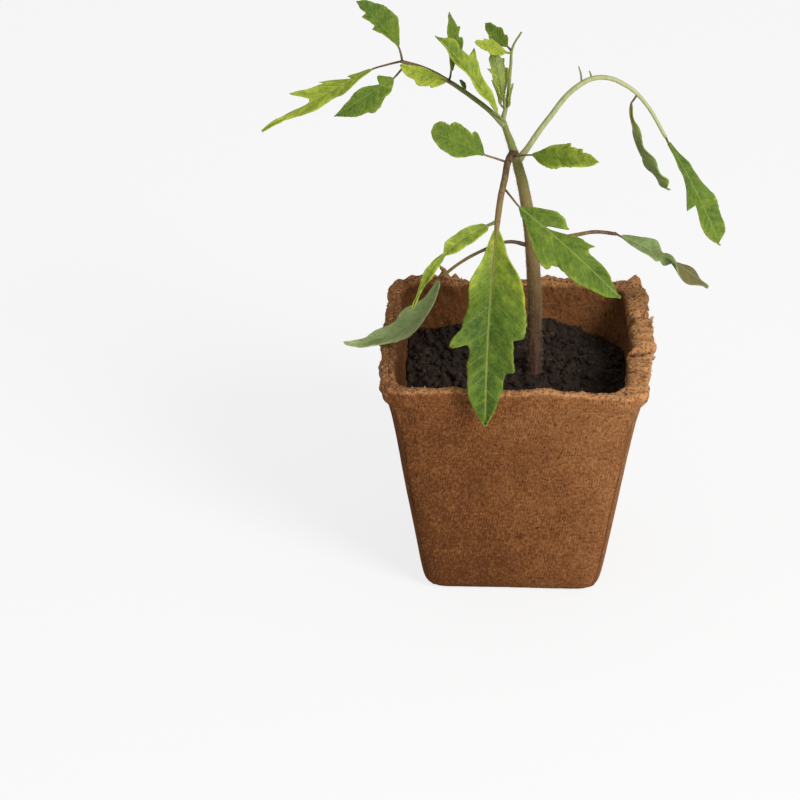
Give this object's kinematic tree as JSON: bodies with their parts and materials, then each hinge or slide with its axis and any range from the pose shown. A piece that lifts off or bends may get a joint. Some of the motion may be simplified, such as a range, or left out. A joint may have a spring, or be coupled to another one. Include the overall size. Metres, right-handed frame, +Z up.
{
  "type": "planted peat pot",
  "caption": "Square tapered moulded peat-fibre pot with a rolled lip, filled with compost and planted with a young tomato seedling.",
  "frame": {"origin": "centre of the pot's base, on its underside", "axes": "+Z up; -Y towards the front, where the longest leaf hangs over the lip; +X to the right seen from the front"},
  "size_m": [0.1503, 0.0945, 0.1958],
  "materials": {
    "peat_fibre": "matte",
    "compost": "matte",
    "root": "matte",
    "stem": "matte",
    "stalk": "matte",
    "leaf": "satin",
    "young_leaf": "satin",
    "cotyledon": "satin"
  },
  "bodies": {
    "root": {"peat_pot": "peat_fibre", "compost": "compost", "root_system": "root", "main_stem": "stem", "left_cotyledon_stalk": "stalk", "right_cotyledon_stalk": "stalk", "front_leaf_stalk": "stalk", "right_leaf_stalk": "stalk", "left_leaf_stalk": "stalk", "crown_stalk": "stalk", "left_cotyledon_blade": "cotyledon", "right_cotyledon_blade": "cotyledon", "front_leaf_tip": "leaf", "front_leaf_lower_left": "leaf", "front_leaf_lower_right": "leaf", "front_leaf_upper_left": "leaf", "front_leaf_upper_right": "leaf", "right_leaf_tip": "leaf", "right_leaf_side": "leaf", "left_leaf_tip": "leaf", "left_leaf_top": "leaf", "left_leaf_lower": "leaf", "left_leaf_inner_upper": "leaf", "left_leaf_inner_lower": "young_leaf", "crown_left": "young_leaf", "crown_middle": "leaf", "crown_light": "young_leaf", "crown_dark": "leaf", "left_leaf_bud": "leaf", "growing_tip": "young_leaf"}
  },
  "joints": []
}
